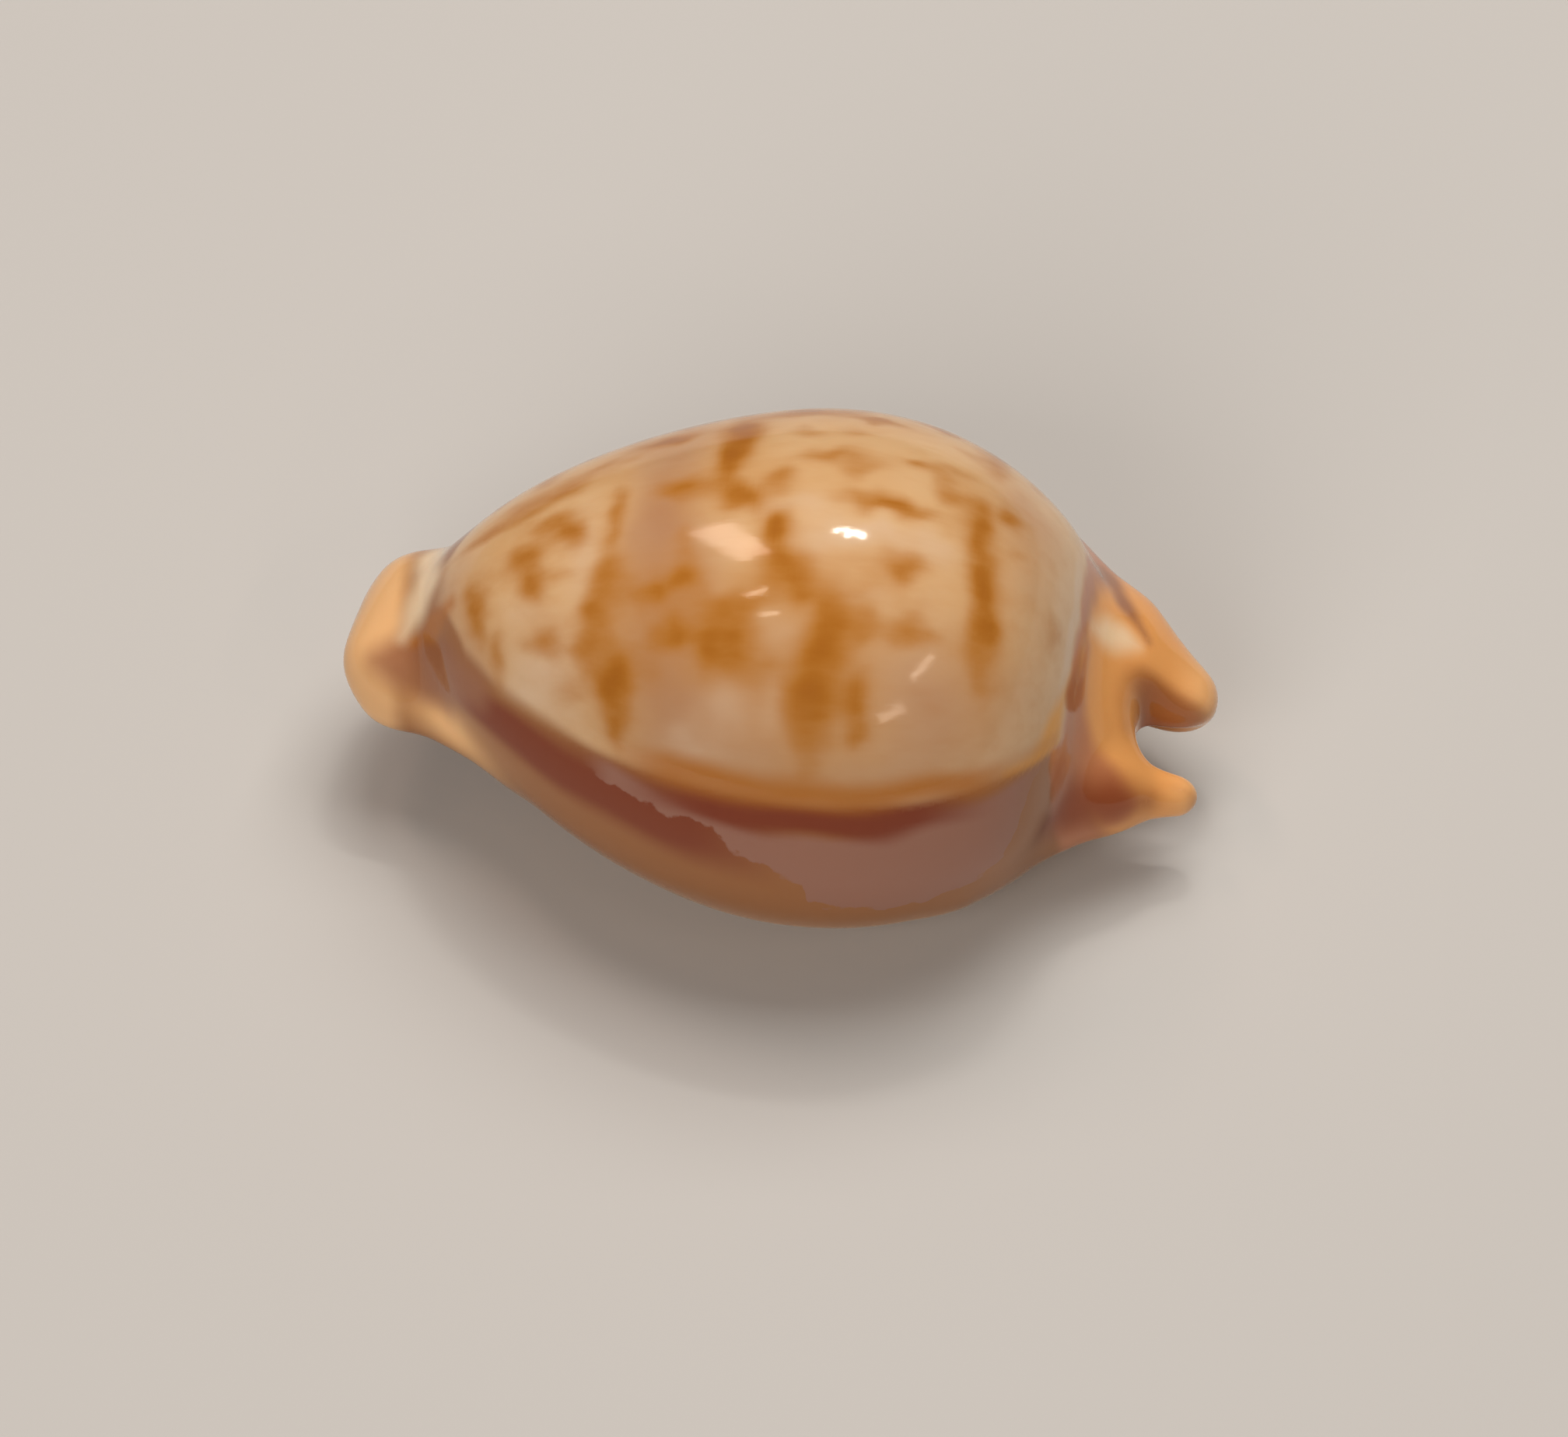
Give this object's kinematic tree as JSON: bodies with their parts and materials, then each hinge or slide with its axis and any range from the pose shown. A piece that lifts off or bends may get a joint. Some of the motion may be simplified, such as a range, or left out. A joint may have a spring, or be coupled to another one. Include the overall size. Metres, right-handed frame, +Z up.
{
  "type": "cowrie shell",
  "caption": "Pear-shaped glossy sea snail shell with a rimmed front end, two blunt lobes around a notch at the back, and a toothed slit along its base.",
  "frame": {"origin": "centre of the shell's outline seen from above, on the surface that it rests on", "axes": "+X towards the back (posterior) end with the notch, -Y towards the columellar side, +Z up through the dorsum"},
  "size_m": [0.0338, 0.0206, 0.017],
  "materials": {
    "shell": "very glossy natural enamel, cream dorsum with soft ochre-brown blotches, lilac callus, orange-tan margins, base and end lobes"
  },
  "bodies": {
    "root": {"shell": "shell"}
  },
  "joints": []
}
